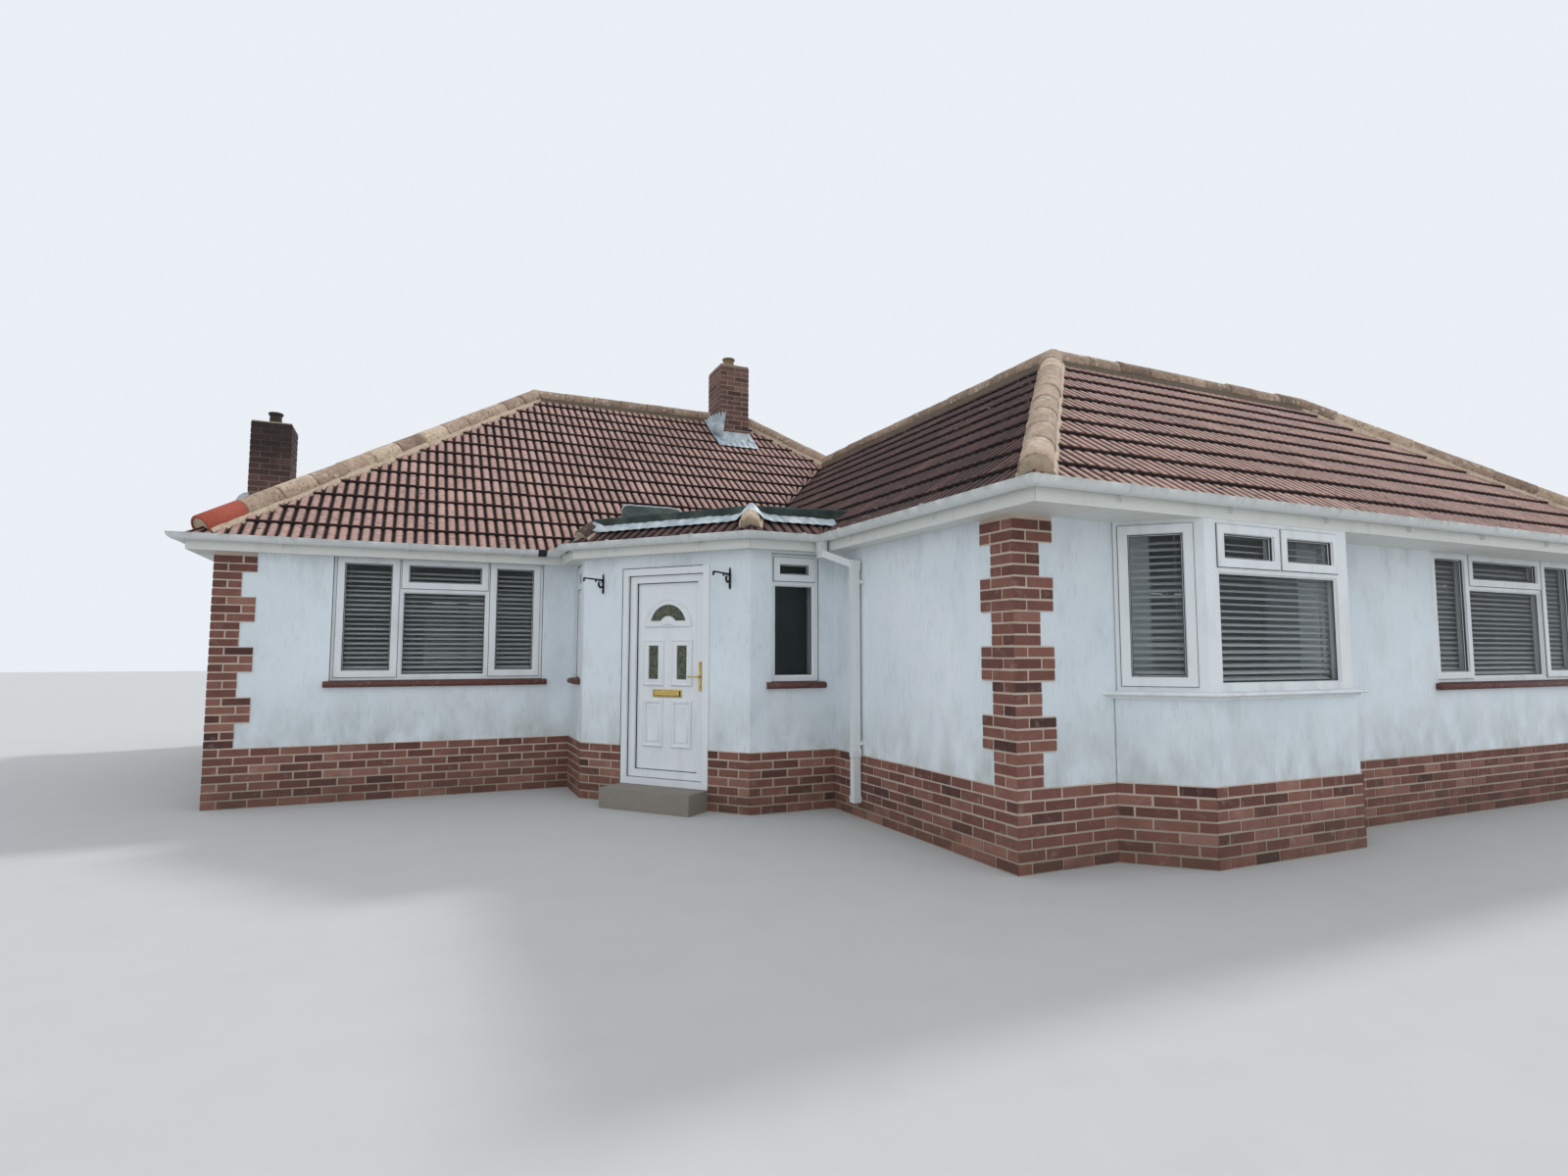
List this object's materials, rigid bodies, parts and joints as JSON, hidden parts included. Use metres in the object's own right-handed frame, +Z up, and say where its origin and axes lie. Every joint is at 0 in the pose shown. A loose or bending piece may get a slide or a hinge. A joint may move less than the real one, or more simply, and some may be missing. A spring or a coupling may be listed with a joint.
{
  "type": "single-storey brick and render bungalow",
  "caption": "Hipped bungalow: rendered walls over a brick plinth with toothed brick corners, a projecting wing with a bay window, and a canted porch whose front door swings inwards.",
  "frame": {"origin": "middle of the bounding box at ground level, under the floor slab", "axes": "+X to the right along the fronts, +Y from the front to the back, +Z up"},
  "size_m": [13.92, 11.714, 5.91],
  "materials": {
    "render": "painted smooth render with green and grey streaks",
    "brick": "red stretcher brick with pale mortar",
    "roof_tile": "double roll concrete tiles with lichen",
    "ridge_tile": "weathered half-round concrete tiles with mortar",
    "upvc": "white window and door profile",
    "glass": "double glazing",
    "sill_tile": "red-brown painted sill",
    "blind": "venetian blind slats",
    "brass": "polished",
    "hinge_steel": "satin",
    "iron": "black painted",
    "painted_board": "white boards, weathered",
    "rainwater": "white rainwater goods, dirty along the rim",
    "felt": "mineral felt",
    "lead": "dull grey lead sheet",
    "clay_pot": "weathered clay and mortar",
    "concrete": "float finished",
    "plaster": "matt emulsion"
  },
  "bodies": {
    "house": {"floor_slab": "concrete", "ceiling": "plaster", "front_plinth": "brick", "wing_plinth": "brick", "rear_plinth": "brick", "main_front_wall": "render", "main_left_wall": "render", "main_back_wall": "render", "courtyard_wall": "render", "wing_back_wall": "render", "wing_end_wall": "render", "wing_front_wall": "render", "wing_corner_wall": "render", "bay_beam": "render", "bay_wall": "render", "link_wall": "render", "porch_left_wall": "render", "porch_right_wall": "render", "porch_head_wall": "render", "brick_quoins": "brick", "main_window": "upvc", "wing_window": "upvc", "porch_windows": "upvc", "bay_window": "upvc", "rear_windows": "upvc", "window_glass": "glass", "window_sills": "sill_tile", "bay_sill": "upvc", "window_blinds": "blind", "door_frame": "upvc", "door_step": "concrete", "frame_hinges": "hinge_steel", "lamp_brackets": "iron", "fascia_boards": "painted_board", "soffit_boards": "painted_board", "gutters": "rainwater", "downpipes": "rainwater", "main_front_slope": "roof_tile", "main_left_slope": "roof_tile", "main_back_slope": "roof_tile", "main_right_slope": "roof_tile", "wing_back_slope": "roof_tile", "wing_end_slope": "roof_tile", "wing_front_slope": "roof_tile", "link_slope": "roof_tile", "ridge_tiles": "ridge_tile", "porch_apron": "roof_tile", "porch_flat_roof": "felt", "lead_flashings": "lead", "left_chimney": "brick", "right_chimney": "brick", "chimney_pots": "clay_pot"},
    "front_door": {"door_leaf": "upvc", "door_glass": "glass", "door_handles": "brass", "letter_plate": "brass", "leaf_hinges": "hinge_steel"}
  },
  "joints": [
    {"name": "front_door_hinge", "type": "hinge", "parent": "house", "child": "front_door", "pos_m": [-2.98899, -1.815, 0.23], "axis": [0, 0, 1], "range_deg": [0, 90]}
  ]
}
